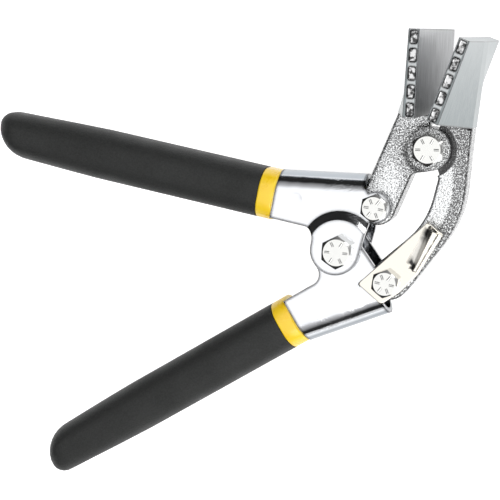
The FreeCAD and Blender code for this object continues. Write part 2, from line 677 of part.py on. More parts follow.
def lip_section(frame, ahead, inner, outer, rise, inset):
    """One end of the thumb lip: a ridge with its crest between its two feet."""
    crest = inner + (outer - inner) * LIP_CREST_SHARE
    points = [
        frame.at(ahead, inner - inset, LATCH_BOTTOM),
        frame.at(ahead, crest, LATCH_TOP + rise - inset),
        frame.at(ahead, outer + inset, LATCH_BOTTOM),
    ]
    return Part.makePolygon(points + [points[0]])


def lip_shape(frame, inset):
    """The thumb lip, or with an inset the hollow under it."""
    low_outer = LIP_END_MARGIN / 2 - LATCH_OUTER_WIDTH
    low = lip_section(frame, LIP_START, low_outer + LIP_LOW_WIDTH, low_outer, LIP_LOW_HEIGHT, inset)
    far_inner = LATCH_FAR_WIDTH - LIP_END_MARGIN
    far_outer = LIP_END_MARGIN / 2 - LATCH_OUTER_FAR_WIDTH
    far = lip_section(frame, LATCH_REACH - 2 * LIP_END_MARGIN, far_inner, far_outer, LIP_HEIGHT, inset)
    return Part.makeLoft([low, far], True, True)


def latch_plate():
    frame = Frame(LOWER_LINK, LATCH_ANGLE, 1)
    corners = [
        (frame.at(-LATCH_BACK, LATCH_BACK_WIDTH), LATCH_CORNER),
        (frame.at(-LATCH_BACK + LATCH_CORNER, -LATCH_OUTER_BACK_WIDTH), LATCH_CORNER),
        (frame.at(LATCH_WAIST, -LATCH_OUTER_WIDTH), LATCH_SIDE_RADIUS),
        (frame.at(LIP_START, -LATCH_OUTER_WIDTH), LATCH_CORNER),
        (frame.at(LATCH_REACH, -LATCH_OUTER_FAR_WIDTH), LATCH_CORNER),
        (frame.at(LATCH_REACH - LATCH_END_LEAN, LATCH_FAR_WIDTH), LATCH_CORNER),
    ]
    plate = rounded_prism(corners, LATCH_BOTTOM, LATCH_TOP)
    body = plate.fuse(lip_shape(frame, 0.0)).cut(lip_shape(frame, LATCH_SHEET))
    return one_solid(drilled(body, LOWER_LINK, LINK_BOLT_RADIUS + RUNNING_CLEARANCE))


# Opening spring and its sleeve

def tangent_leg(target, level, side):
    """A straight leg from the coil to a target, leaving the coil along its tangent."""
    reach = math.hypot(target.x, target.y)
    heading = math.degrees(math.atan2(target.y, target.x))
    spread = math.degrees(math.acos(SPRING_COIL_RADIUS / reach))
    start = polar(SPRING_COIL_RADIUS, heading + side * spread) + Vector(0, 0, level)
    run = Vector(target.x, target.y, level).sub(start)
    return Part.makeCylinder(JOINED_WIRE_SHARE * SPRING_WIRE_RADIUS, run.Length, start, run)


def opening_spring():
    pitch = 2 * SPRING_WIRE_RADIUS + SPRING_GAP
    height = pitch * (SPRING_TURNS - 1)
    shape = None
    for turn in range(SPRING_TURNS):
        level = -height / 2 + turn * pitch
        coil = Part.makeTorus(SPRING_COIL_RADIUS, SPRING_WIRE_RADIUS, Vector(0, 0, level))
        shape = coil if shape is None else shape.fuse(coil)
    step_place = polar(SPRING_COIL_RADIUS, SPRING_STEP_ANGLE) - Vector(0, 0, height / 2)
    step = Part.makeCylinder(JOINED_WIRE_SHARE * SPRING_WIRE_RADIUS, height, step_place)
    shape = shape.fuse(step)
    upper_target = UPPER_FRAME.at(SPRING_LEG_REACH, WEB_HEIGHT_AT_COLLAR - SPRING_LEG_INSET)
    lower_target = LOWER_FRAME.at(SPRING_LEG_REACH, WEB_HEIGHT_AT_COLLAR - SPRING_LEG_INSET)
    shape = shape.fuse(tangent_leg(upper_target, height / 2, 1))
    shape = shape.fuse(tangent_leg(lower_target, -height / 2, -1))
    return one_solid(shape)


def spring_sleeve():
    half = CHANNEL_HALF_WIDTH - SHEET
    return ring(HANDLE_PIVOT, PIVOT_BOLT_RADIUS + RUNNING_CLEARANCE, SLEEVE_RADIUS, -half, half)


def link_washers(link):
    """The two thin washers that centre an arm between a handle's flanges."""
    low = ARM_HALF_THICKNESS + LINK_WASHER_PLAY
    high = CHANNEL_HALF_WIDTH - SHEET
    hole = LINK_BOLT_RADIUS + RUNNING_CLEARANCE
    front = ring(link, hole, LINK_WASHER_RADIUS, low, high)
    back = ring(link, hole, LINK_WASHER_RADIUS, -high, -low)
    return Part.makeCompound([front, back])


def build():
    pivot_hole = PIVOT_BOLT_RADIUS + RUNNING_CLEARANCE
    link_hole = LINK_BOLT_RADIUS + RUNNING_CLEARANCE
    boss_level = ARM_HALF_THICKNESS - SPOT_FACE_DEPTH
    ear_back = -EAR_OUTER
    channel_back = -CHANNEL_HALF_WIDTH
    washer_back = -boss_level - WASHER_THICKNESS
    pivot_end = NUT_HEIGHT + BOLT_END_LENGTH
    nodes = {
        "upper_handle": upper_handle(),
        "lower_handle": lower_handle(),
        "upper_grip": grip(UPPER_FRAME, UPPER_GRIP_END),
        "lower_grip": grip(LOWER_FRAME, LOWER_GRIP_END),
        "upper_collar": collar(UPPER_FRAME),
        "lower_collar": collar(LOWER_FRAME),
        "short_arm_jaw": short_arm_jaw(),
        "long_arm_jaw": long_arm_jaw(),
        "handle_pivot_bolt": bolt(HANDLE_PIVOT, PIVOT_BOLT_RADIUS, PIVOT_HEAD_FLATS, PIVOT_HEAD_HEIGHT,
                                  EAR_OUTER, ear_back - pivot_end, HANDLE_HEAD_TURN),
        "handle_pivot_nut": nut(HANDLE_PIVOT, PIVOT_BOLT_RADIUS, PIVOT_HEAD_FLATS, ear_back, HANDLE_NUT_TURN),
        "jaw_pivot_bolt": bolt(JAW_PIVOT, PIVOT_BOLT_RADIUS, PIVOT_HEAD_FLATS, PIVOT_HEAD_HEIGHT,
                               boss_level, washer_back - pivot_end, JAW_HEAD_TURN),
        "jaw_pivot_nut": nut(JAW_PIVOT, PIVOT_BOLT_RADIUS, PIVOT_HEAD_FLATS, washer_back, JAW_NUT_TURN),
        "jaw_pivot_washer": ring(JAW_PIVOT, pivot_hole, WASHER_RADIUS, washer_back, -boss_level),
        "upper_link_bolt": bolt(UPPER_LINK, LINK_BOLT_RADIUS, LINK_HEAD_FLATS, LINK_HEAD_HEIGHT,
                                CHANNEL_HALF_WIDTH, channel_back - pivot_end, UPPER_LINK_HEAD_TURN),
        "upper_link_nut": nut(UPPER_LINK, LINK_BOLT_RADIUS, LINK_HEAD_FLATS, channel_back, UPPER_LINK_NUT_TURN),
        "lower_link_bolt": bolt(LOWER_LINK, LINK_BOLT_RADIUS, LINK_HEAD_FLATS, LINK_HEAD_HEIGHT,
                                LATCH_TOP, channel_back - pivot_end, LOWER_LINK_HEAD_TURN),
        "lower_link_nut": nut(LOWER_LINK, LINK_BOLT_RADIUS, LINK_HEAD_FLATS, channel_back, LOWER_LINK_NUT_TURN),
        "latch_plate": latch_plate(),
        "latch_wave_washer": ring(LOWER_LINK, link_hole, LINK_LOBE_RADIUS - WAVE_WASHER_INSET,
                                  CHANNEL_HALF_WIDTH, LATCH_BOTTOM),
        "opening_spring": opening_spring(),
        "spring_sleeve": spring_sleeve(),
        "upper_link_washers": link_washers(UPPER_LINK),
        "lower_link_washers": link_washers(LOWER_LINK),
    }
    return nodes


def floor_shift(nodes):
    """The move that puts the whole object's bottom centre at the origin."""
    box = Part.makeCompound(list(nodes.values())).optimalBoundingBox(False, False)
    return Vector(-(box.XMin + box.XMax) / 2, -(box.YMin + box.YMax) / 2, -box.ZMin)


def main():
    os.makedirs("parts", exist_ok=True)
    nodes = build()
    shift = floor_shift(nodes)
    for name, shape in nodes.items():
        shape.translate(shift)
        shape.exportStep(os.path.join("parts", name + ".step"))


if __name__ == "__main__":
    main()
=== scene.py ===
import json
import math

import bpy
from mathutils import Matrix, Vector

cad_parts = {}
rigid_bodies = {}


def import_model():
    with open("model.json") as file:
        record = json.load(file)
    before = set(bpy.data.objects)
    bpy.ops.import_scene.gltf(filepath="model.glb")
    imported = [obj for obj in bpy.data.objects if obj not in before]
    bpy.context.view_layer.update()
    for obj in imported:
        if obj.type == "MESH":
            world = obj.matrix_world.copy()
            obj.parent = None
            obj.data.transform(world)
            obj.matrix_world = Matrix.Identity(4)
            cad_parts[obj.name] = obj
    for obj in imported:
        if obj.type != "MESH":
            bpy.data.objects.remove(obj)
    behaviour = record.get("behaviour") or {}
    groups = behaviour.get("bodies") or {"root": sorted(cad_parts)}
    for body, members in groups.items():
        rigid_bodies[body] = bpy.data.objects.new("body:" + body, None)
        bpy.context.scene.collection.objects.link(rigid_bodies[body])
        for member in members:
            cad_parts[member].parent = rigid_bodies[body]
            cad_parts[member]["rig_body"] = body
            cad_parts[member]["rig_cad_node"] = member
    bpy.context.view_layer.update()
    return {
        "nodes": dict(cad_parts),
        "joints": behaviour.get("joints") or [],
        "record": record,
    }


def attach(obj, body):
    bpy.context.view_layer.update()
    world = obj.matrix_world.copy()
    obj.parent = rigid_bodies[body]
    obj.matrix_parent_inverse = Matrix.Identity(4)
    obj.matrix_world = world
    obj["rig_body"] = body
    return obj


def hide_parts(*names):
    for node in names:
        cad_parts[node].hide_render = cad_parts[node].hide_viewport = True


# A wide-jaw hand seamer: chromed channel handles with black grips, a compound linkage,
# two broad jaws and a nickel latch. Everything is in metres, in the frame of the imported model.

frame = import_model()
nodes = frame["nodes"]
joints = {joint["name"]: joint for joint in frame["joints"]}

MM = 0.001
SKY_STRENGTH = 1.5
FLOOR_GLOW = 0.6


def nothing_selected():
    for item in bpy.context.selected_objects:
        item.select_set(False)


def direction(degrees):
    """The unit vector at an angle from +X, in the linkage's plane."""
    turn = math.radians(degrees)
    return Vector((math.cos(turn), math.sin(turn), 0))


def aside_of(along):
    """The unit vector a quarter turn ahead of another, in the linkage's plane."""
    return Vector((-along.y, along.x, 0))


# Places that the whole scene is worked out from. Angles are in degrees from +X.
HANDLE_PIVOT = Vector(joints["handle_fold"]["pos_m"])
LOWER_LINK = Vector(joints["long_arm_swing"]["pos_m"])
JAW_PIVOT = Vector(joints["jaw_close"]["pos_m"])
LINK_ANGLE = 41.3
LINK_RADIUS = 21.4 * MM           # handle pivot to upper link
UPPER_LINK = HANDLE_PIVOT + direction(LINK_ANGLE) * LINK_RADIUS

# Handles and grips, from the handle pivot along and across a handle
HANDLE_ANGLE = 21.15              # each handle's lean from -X
BACK_SHADE_HALF_WIDTH = 5.6 * MM        # of the painted shade round a channel's back
COLLAR_START = 29.2 * MM
GRIP_START = 35.5 * MM
UPPER_GRIP_END = 145.8 * MM
LOWER_GRIP_END = 149.4 * MM
GRIP_CENTRE = 14.2 * MM
GRIP_WIDTH = 19.2 * MM
GRIP_THICKNESS = 19.8 * MM
GRIP_CORNER = 7.6 * MM
BUTT_TAPER_LENGTH = 42.0 * MM
BUTT_TAPER = 1.3 * MM
BUTT_INNER_RADIUS = 13.0 * MM
BUTT_OUTER_RADIUS = 5.2 * MM
BUTT_SIDE_RADIUS = 8.5 * MM

# Jaws. Blades are measured from the jaw pivot, along and across each gripping face.
SHORT_JAW_ANGLE = 77.6
LONG_JAW_ANGLE = 59.1
BLADE_WIDTH = 76.2 * MM
BLADE_BASE = 13.1 * MM
BLADE_RIDGE = 12.2 * MM           # thickness of a blade at its base
POCKET_ACROSS = (0.5 * MM, 3.32 * MM)
SHORT_ARM_HALF_WIDTH = 7.0 * MM
# Painted shade round the short arm's boss and painted shadow in the long arm's recess, by distance from
# the jaw pivot
SHORT_BOSS_SHADE = (8.0 * MM, 17.0 * MM)    # distances from the jaw pivot
LONG_ARM_RECESS = (10.35 * MM, 10.6 * MM)

# The long arm's bend and foot, from the lower link along and across the line to the jaw pivot
LONG_BEND_AHEAD = 30.43 * MM
LONG_BEND_ASIDE = 19.8 * MM
LONG_BEND_RADIUS = 40.0 * MM
LONG_STRIPE = (34.4 * MM, 35.6 * MM)    # distances from the bend's centre, where the painted shade stripe lies
LONG_FOOT_TURN = 25.6
LONG_FOOT_AHEAD = 4.0 * MM
LONG_FOOT_ASIDE = 7.4 * MM

# The latch's thumb lip and the painted shade on its inner slope, from the lower link along and across
# the plate
LATCH_ANGLE = 36.5
LATCH_TOP = 10.45 * MM            # plate's upper face, from the middle plane
LATCH_EDGE = 0.35 * MM
LIP_RUN = (10.9 * MM, 26.9 * MM)
LIP_CREST = (-4.17 * MM, 0.98 * MM)
LIP_FOOT = (0.2 * MM, 5.2 * MM)


# ---------------------------------------------------------------- camera, floor and light

def set_camera():
    place = HANDLE_PIVOT + Vector((153.1, 55.4, 626.6)) * MM
    forward = Vector((-0.2898, -0.0777, -0.9539)).normalized()
    upward = Vector((0.1342, 0.9836, -0.1209))
    across = forward.cross(upward).normalized()
    upward = across.cross(forward)
    data = bpy.data.cameras.new("camera")
    data.lens = 122.4
    data.sensor_width = 36.0
    data.clip_start = 0.05
    data.clip_end = 20.0
    camera = bpy.data.objects.new("camera", data)
    bpy.context.scene.collection.objects.link(camera)
    turn = Matrix((across, upward, -forward)).transposed()
    camera.matrix_world = Matrix.Translation(place) @ turn.to_4x4()
    bpy.context.scene.camera = camera


def area_light(name, place, aim, width, height, power):
    data = bpy.data.lights.new(name, "AREA")
    data.shape = "RECTANGLE"
    data.size = width
    data.size_y = height
    data.energy = power
    lamp = bpy.data.objects.new(name, data)
    bpy.context.scene.collection.objects.link(lamp)
    lamp.location = place
    lamp.rotation_mode = "QUATERNION"
    lamp.rotation_quaternion = (Vector(aim) - Vector(place)).to_track_quat("-Z", "Y")
    lamp.visible_camera = False


def set_world():
    world = bpy.data.worlds.new("studio")
    bpy.context.scene.world = world
    world.use_nodes = True
    tree = world.node_tree
    tree.nodes.clear()
    coordinate = tree.nodes.new("ShaderNodeTexCoord")
    parts = tree.nodes.new("ShaderNodeSeparateXYZ")
    ramp = tree.nodes.new("ShaderNodeValToRGB")
    background = tree.nodes.new("ShaderNodeBackground")
    output = tree.nodes.new("ShaderNodeOutputWorld")
    tree.links.new(coordinate.outputs["Generated"], parts.inputs[0])
    tree.links.new(parts.outputs["Z"], ramp.inputs[0])
    tree.links.new(ramp.outputs[0], background.inputs[0])
    tree.links.new(background.outputs[0], output.inputs[0])
    stops = ramp.color_ramp.elements
    stops[0].position = 0.0
    stops[0].color = (0.20, 0.21, 0.23, 1)
    stops[1].position = 1.0
    stops[1].color = (1.0, 1.0, 1.0, 1)
    levels = ((0.12, 0.02), (0.50, 0.015), (0.66, 0.25), (0.80, 0.45), (0.90, 0.95))
    for place, level in levels:
        stop = stops.new(place)
        stop.color = (level, level, level * 1.02, 1)
    background.inputs[1].default_value = SKY_STRENGTH


def set_floor():
    nothing_selected()
    bpy.ops.mesh.primitive_plane_add(size=6.0, location=(0, 0, -0.0002))
    floor = bpy.context.object
    floor.name = "floor"
    material = bpy.data.materials.new("pale_floor")
    material.use_nodes = True
    shader = material.node_tree.nodes["Principled BSDF"]
    shader.inputs["Base Color"].default_value = (0.93, 0.93, 0.93, 1)
    shader.inputs["Roughness"].default_value = 0.9
    shader.inputs["Specular IOR Level"].default_value = 0.1
    shader.inputs["Emission Color"].default_value = (1, 1, 1, 1)
    shader.inputs["Emission Strength"].default_value = FLOOR_GLOW
    floor.data.materials.append(material)


def set_studio():
    scene = bpy.context.scene
    scene.view_settings.view_transform = "Standard"
    set_camera()
    set_world()
    set_floor()
    area_light("front_softbox", (0.45, -0.75, 1.1), (0, 0, 0), 1.1, 1.1, 9.0)
    area_light("low_softbox", (-0.2, -1.2, 0.16), (0, 0, 0.04), 1.8, 0.3, 1.4)
    area_light("side_softbox", (0.9, 0.6, 0.7), (0.03, 0, 0.04), 0.5, 0.5, 4.0)


# ---------------------------------------------------------------- materials

class Material:
    """A small helper that builds a shader from named steps."""

    def __init__(self, name, colour, roughness, metallic=0.0):
        self.material = bpy.data.materials.new(name)
        self.material.use_nodes = True
        self.tree = self.material.node_tree
        self.shader = self.tree.nodes["Principled BSDF"]
        self.shader.inputs["Base Color"].default_value = (*colour, 1)
        self.shader.inputs["Roughness"].default_value = roughness
        self.shader.inputs["Metallic"].default_value = metallic
        self.place = self.tree.nodes.new("ShaderNodeTexCoord").outputs["Object"]

    def node(self, kind, **values):
        made = self.tree.nodes.new(kind)
        for key, value in values.items():
            setattr(made, key, value)
        return made

    def link(self, source, target):
        self.tree.links.new(source, target)

    def mapped(self, centre=(0, 0, 0), turn=0.0, scale=(1, 1, 1)):
        """Object coordinates about a centre, turned about Z by degrees and scaled."""
        shift = self.node("ShaderNodeMapping", vector_type="TEXTURE")
        shift.inputs["Location"].default_value = centre
        shift.inputs["Rotation"].default_value = (0, 0, math.radians(turn))
        stretch = self.node("ShaderNodeMapping", vector_type="POINT")
        stretch.inputs["Scale"].default_value = scale
        self.link(self.place, shift.inputs["Vector"])
        self.link(shift.outputs[0], stretch.inputs["Vector"])
        return stretch.outputs[0]

    def noise(self, vector, scale, detail=2.0, roughness=0.5):
        made = self.node("ShaderNodeTexNoise")
        made.inputs["Scale"].default_value = scale
        made.inputs["Detail"].default_value = detail
        made.inputs["Roughness"].default_value = roughness
        self.link(vector, made.inputs["Vector"])
        return made.outputs["Fac"]

    def remap(self, value, low, high, to_low, to_high):
        made = self.node("ShaderNodeMapRange")
        limits = (("From Min", low), ("From Max", high), ("To Min", to_low), ("To Max", to_high))
        for name, number in limits:
            made.inputs[name].default_value = number
        self.link(value, made.inputs["Value"])
        return made.outputs[0]

    def maths(self, operation, first, second):
        made = self.node("ShaderNodeMath", operation=operation)
        for index, item in enumerate((first, second)):
            if isinstance(item, (int, float)):
                made.inputs[index].default_value = item
            else:
                self.link(item, made.inputs[index])
        return made.outputs[0]

    def colours(self, value, low, high):
        made = self.node("ShaderNodeMix", data_type="RGBA")
        made.inputs[6].default_value = (*low, 1)
        made.inputs[7].default_value = (*high, 1)
        self.link(value, made.inputs[0])
        return made.outputs[2]

    def bump(self, height, strength, distance, under=None):
        made = self.node("ShaderNodeBump")
        made.inputs["Strength"].default_value = strength
        made.inputs["Distance"].default_value = distance
        self.link(height, made.inputs["Height"])
        if under is not None:
            self.link(under, made.inputs["Normal"])
        return made.outputs[0]

    def axes(self, vector):
        """The three parts of a vector."""
        made = self.node("ShaderNodeSeparateXYZ")
        self.link(vector, made.inputs[0])
        return made.outputs[0], made.outputs[1], made.outputs[2]

    def reach(self, first, second):
        """The length of two parts taken together."""
        first_square = self.maths("MULTIPLY", first, first)
        second_square = self.maths("MULTIPLY", second, second)
        return self.maths("SQRT", self.maths("ADD", first_square, second_square), 0.0)

    def band(self, value, low, high, soft):
        """One between low and high, nothing outside them."""
        rises = self.remap(value, low - soft, low + soft, 0.0, 1.0)
        falls = self.remap(value, high - soft, high + soft, 1.0, 0.0)
        return self.maths("MULTIPLY", rises, falls)

    def blend(self, share, low, high):
        """A mix of two colours that are themselves worked out."""
        made = self.node("ShaderNodeMix", data_type="RGBA")
        self.link(share, made.inputs[0])
        self.link(low, made.inputs[6])
        self.link(high, made.inputs[7])
        return made.outputs[2]

    def soft_edges(self, radius):
        """The piece's own surface with its sharp edges just broken."""
        made = self.node("ShaderNodeBevel", samples=6)
        made.inputs["Radius"].default_value = radius
        return made.outputs[0]

    def edge_share(self, rounded, low=0.80, high=0.985):
        """One where a sharp edge has been broken, nothing on a flat."""
        made = self.node("ShaderNodeVectorMath", operation="DOT_PRODUCT")
        self.link(rounded, made.inputs[0])
        self.link(self.node("ShaderNodeNewGeometry").outputs["Normal"], made.inputs[1])
        return self.remap(made.outputs["Value"], low, high, 1.0, 0.0)

    def flat_colour(self, level):
        made = self.node("ShaderNodeRGB")
        made.outputs[0].default_value = (*level, 1)
        return made.outputs[0]

    def finish(self, colour=None, roughness=None, normal=None, metallic=None):
        sources = (
            ("Base Color", colour), ("Roughness", roughness),
            ("Normal", normal), ("Metallic", metallic),
        )
        for name, source in sources:
            if source is not None:
                self.link(source, self.shader.inputs[name])
        return self.material


PLATE_COLOUR = (0.69, 0.70, 0.715)


def chrome_plate(name, back_shade_tone):
    """Bright plate on the flats, painted shade round the channel's back, and painted dark shade along
    its edges.
    """
    made = Material(name, PLATE_COLOUR, 0.12, 1.0)
    fine = made.noise(made.place, 1100.0, 3.0)
    broad = made.noise(made.place, 70.0, 2.0)
    edges = made.soft_edges(0.4 * MM)
    smears = made.remap(broad, 0.35, 0.7, 0.06, 0.16)
    waves = made.bump(broad, 0.5, 0.0006, edges)
    patches = made.remap(made.noise(made.place, 55.0, 2.0), 0.45, 0.62, 0.02, 1.0)
    grains = made.maths("MULTIPLY", fine, patches)
    grain = made.bump(grains, 0.8, 0.00012, waves)
    # Painted shade: a darker band round the channel's back, its darkness set for each handle.
    height = made.axes(made.mapped(HANDLE_PIVOT))[2]
    back = made.band(height, -BACK_SHADE_HALF_WIDTH, BACK_SHADE_HALF_WIDTH, 0.8 * MM)
    plate = made.colours(back, PLATE_COLOUR, back_shade_tone)
    # Painted shade: the plate darkens to near black along its edges.
    edge_shade_share = made.edge_share(made.soft_edges(2.0 * MM), 0.93, 0.998)
    colour = made.blend(edge_shade_share, plate, made.flat_colour((0.02, 0.02, 0.022)))
    return made.finish(colour=colour, roughness=smears, normal=grain)


def line_turn(start, end):
    """The angle of the line between two places."""
    return math.degrees(math.atan2(end.y - start.y, end.x - start.x))


def jaw_place(angle, side, ahead, aside):
    """A place on a jaw, from the jaw pivot along and across its gripping face."""
    along = direction(angle)
    return JAW_PIVOT + along * ahead + aside_of(along) * side * aside


def short_arm_shade(made):
    """Painted shade: darker towards the arm's outer and inner edges and round its boss."""
    corner = jaw_place(SHORT_JAW_ANGLE, 1, BLADE_BASE, BLADE_RIDGE)
    reach = (corner - UPPER_LINK).length
    lean = math.degrees(math.asin(SHORT_ARM_HALF_WIDTH / reach))
    side = made.axes(made.mapped(UPPER_LINK, line_turn(UPPER_LINK, corner) - lean))[1]
    outer_edge = made.remap(side, 1.0 * MM, SHORT_ARM_HALF_WIDTH, 1.0, 0.0)
    inner_edge = made.remap(side, -SHORT_ARM_HALF_WIDTH, -SHORT_ARM_HALF_WIDTH / 2, 0.0, 1.0)
    about = made.axes(made.mapped(JAW_PIVOT))
    boss = made.remap(made.reach(about[0], about[1]), *SHORT_BOSS_SHADE, -0.25, 1.0)
    return made.maths("MULTIPLY", made.maths("MULTIPLY", outer_edge, inner_edge), boss)


def arc_centre(before, bend, after, radius):
    """The centre of the arc that rounds a bend between two straight runs."""
    back = (before - bend).normalized()
    ahead = (after - bend).normalized()
    half = back.angle(ahead) / 2
    return bend + (back + ahead).normalized() * radius / math.sin(half)


def long_arm_shade(made):
    """Painted shade: a darker stripe along the arm's outer edge, and painted shadow in the recess round
    the jaw pivot.
    """
    turn = line_turn(LOWER_LINK, JAW_PIVOT)
    along = direction(turn)
    bend = LOWER_LINK + along * LONG_BEND_AHEAD - aside_of(along) * LONG_BEND_ASIDE
    foot_along = direction(turn - LONG_FOOT_TURN)
    foot = LOWER_LINK + foot_along * LONG_FOOT_AHEAD - aside_of(foot_along) * LONG_FOOT_ASIDE
    corner = jaw_place(LONG_JAW_ANGLE, -1, BLADE_BASE, BLADE_RIDGE)
    centre = arc_centre(corner, bend, foot, LONG_BEND_RADIUS)
    about = made.axes(made.mapped(centre))
    # Painted shade: a darker stripe along the outer edge of the arm's bend.
    stripe = made.remap(made.reach(about[0], about[1]), *LONG_STRIPE, 1.0, -0.12)
    pivot = made.axes(made.mapped(JAW_PIVOT))
    # Painted shadow in the recess round the jaw pivot.
    recess = made.remap(made.reach(pivot[0], pivot[1]), *LONG_ARM_RECESS, -1.2, 1.0)
    return made.maths("MINIMUM", stripe, recess)


def jaw_casting(name, angle, side, arm_shade):
    """Cast and plated arm with painted shade, ground blade with painted light and shade on its two
    faces, rough pockets in the blade's two ends with painted shadow in them and a painted highlight on
    their rims, and painted shade along the edges.
    """
    made = Material(name, (0.6, 0.61, 0.62), 0.2, 1.0)
    along, across, height = made.axes(made.mapped(JAW_PIVOT, angle))
    across = made.maths("MULTIPLY", across, float(side))
    height = made.maths("ABSOLUTE", height, 0.0)

    pebbles = made.noise(made.place, 1900.0, 2.0, 0.6)
    # The specks are the casting's own grain; the arm's painted shade pushes them darker where it falls.
    lean = made.remap(arm_shade(made), -1.0, 1.0, -0.22, 0.07)
    specks = made.remap(made.maths("ADD", pebbles, lean), 0.36, 0.60, 0.0, 1.0)
    cast = made.colours(specks, (0.08, 0.08, 0.08), (0.74, 0.75, 0.75))

    streaks = made.noise(made.mapped(JAW_PIVOT, angle, (0.06, 1.0, 1.0)), 1500.0, 3.0, 0.6)
    gripping = made.band(across, -0.2 * MM, 0.2 * MM, 0.02 * MM)
    grain = made.remap(streaks, 0.3, 0.7, 0.0, 1.0)
    # The outer and gripping faces are one ground steel; their two colours are painted light and shade
    # that set each face's tone.
    outer_face = made.colours(grain, (0.185, 0.21, 0.215), (0.245, 0.268, 0.272))
    gripping_face = made.colours(grain, (0.19, 0.195, 0.20), (0.52, 0.53, 0.54))
    ground = made.blend(gripping, outer_face, gripping_face)

    inside = made.band(across, *POCKET_ACROSS, 0.03 * MM)
    half = BLADE_WIDTH / 2
    floor_depth = made.band(height, half - 1.3 * MM, half - 0.35 * MM, 0.12 * MM)
    floors = made.maths("MULTIPLY", inside, floor_depth)
    rim_depth = made.band(height, half - 0.3 * MM, half - 0.02 * MM, 0.05 * MM)
    rims = made.maths("MULTIPLY", inside, rim_depth)
    # Painted shadow in the pocket floors, broken by a random mottle, and a painted highlight on their
    # rims.
    mottle = made.remap(made.noise(made.place, 700.0, 2.0), 0.42, 0.56, 0.0, 1.0)
    pocket_shadow = made.colours(mottle, (0.06, 0.06, 0.06), (0.62, 0.62, 0.62))
    bright = made.colours(rims, (0.9, 0.9, 0.9), (0.95, 0.95, 0.95))
    ground = made.blend(floors, ground, pocket_shadow)
    ground = made.blend(rims, ground, bright)

    blade = made.remap(along, BLADE_BASE, BLADE_BASE + 0.15 * MM, 0.0, 1.0)
    colour = made.blend(blade, cast, ground)
    rough = made.remap(blade, 0.0, 1.0, 0.17, 0.3)
    edges = made.soft_edges(0.35 * MM)
    # Painted shade: the jaw darkens along its edges.
    jaw_edge_shade = made.edge_share(made.soft_edges(1.0 * MM), 0.90, 0.995)
    colour = made.blend(jaw_edge_shade, colour, made.flat_colour((0.10, 0.10, 0.10)))
    relief = made.maths("MULTIPLY", pebbles, made.remap(blade, 0.0, 1.0, 1.0, 0.1))
    skin = made.bump(relief, 0.9, 0.00022, edges)
    lines = made.bump(made.maths("MULTIPLY", streaks, blade), 0.5, 0.00006, skin)
    return made.finish(colour=colour, roughness=rough, normal=lines)


def bright_fastener():
    made = Material("bright_fastener", (0.66, 0.66, 0.64), 0.14, 1.0)
    fine = made.noise(made.place, 1500.0, 3.0)
    broad = made.noise(made.place, 240.0, 2.0)
    rough = made.remap(broad, 0.3, 0.7, 0.1, 0.24)
    grain = made.bump(fine, 0.2, 0.00006)
    return made.finish(roughness=rough, normal=grain)


def nickel_plate():
    """Warm bright plate; painted shade on the thumb lip's inner slope, with painted shadow darkest at
    its two ends.
    """
    made = Material("nickel_plate", (0.72, 0.69, 0.62), 0.14, 1.0)
    broad = made.noise(made.place, 120.0, 2.0)
    fine = made.noise(made.place, 1200.0, 2.0)
    rough = made.remap(broad, 0.3, 0.7, 0.09, 0.2)
    waves = made.bump(broad, 0.3, 0.0004, made.soft_edges(0.35 * MM))
    grain = made.bump(fine, 0.1, 0.00005, waves)
    along, across, height = made.axes(made.mapped(LOWER_LINK, LATCH_ANGLE))
    crest = made.remap(along, *LIP_RUN, *LIP_CREST)
    foot = made.remap(along, *LIP_RUN, *LIP_FOOT)
    past_crest = made.remap(made.maths("SUBTRACT", across, crest), 0.0, 0.15 * MM, 0.0, 1.0)
    to_foot = made.maths("SUBTRACT", foot, across)
    before_foot = made.remap(to_foot, -0.2 * MM, 1.4 * MM, 0.0, 1.0)
    upper_side = made.remap(height, LATCH_TOP - 0.3 * MM, LATCH_TOP - 0.2 * MM, 0.0, 1.0)
    slope = made.maths("MULTIPLY", made.maths("MULTIPLY", past_crest, before_foot), upper_side)
    wander = made.remap(made.noise(made.place, 420.0, 2.0), 0.3, 0.7, -0.9 * MM, 0.9 * MM)
    place = made.maths("ADD", along, wander)
    length = made.band(place, 11.0 * MM, 26.4 * MM, 0.4 * MM)
    slope = made.maths("MULTIPLY", slope, length)
    # Painted shadow at the lip's two ends, with lighter painted shade between them.
    low_end = made.remap(place, 12.6 * MM, 14.4 * MM, 0.0, 1.0)
    far_end = made.remap(place, 20.5 * MM, 23.6 * MM, 1.0, 0.0)
    light = made.maths("MULTIPLY", low_end, far_end)
    lip_shade = made.colours(light, (0.015, 0.015, 0.014), (0.74, 0.72, 0.67))
    plate = made.colours(broad, (0.71, 0.68, 0.61), (0.74, 0.71, 0.64))
    colour = made.blend(slope, plate, lip_shade)
    # Painted shade: the plate darkens along its edges.
    edges = made.edge_share(made.soft_edges(0.3 * MM), 0.6, 0.97)
    colour = made.blend(edges, colour, made.flat_colour((0.06, 0.055, 0.05)))
    metal = made.remap(slope, 0.0, 1.0, 1.0, 0.25)
    return made.finish(colour=colour, roughness=rough, normal=grain, metallic=metal)


def spring_steel():
    made = Material("spring_steel", (0.42, 0.43, 0.45), 0.3, 1.0)
    fine = made.noise(made.place, 900.0, 3.0)
    rough = made.remap(fine, 0.3, 0.7, 0.22, 0.42)
    return made.finish(roughness=rough)


def black_grip():
    made = Material("black_grip", (0.021, 0.023, 0.021), 0.55)
    stipple = made.noise(made.place, 1700.0, 3.0, 0.65)
    broad = made.noise(made.place, 60.0, 3.0)
    specks = made.remap(stipple, 0.35, 0.65, 0.0, 1.0)
    colour = made.colours(specks, (0.0025, 0.003, 0.0025), (0.011, 0.0125, 0.011))
    rough = made.remap(broad, 0.3, 0.7, 0.5, 0.66)
    skin = made.bump(stipple, 0.7, 0.00025)
    return made.finish(colour=colour, roughness=rough, normal=skin)


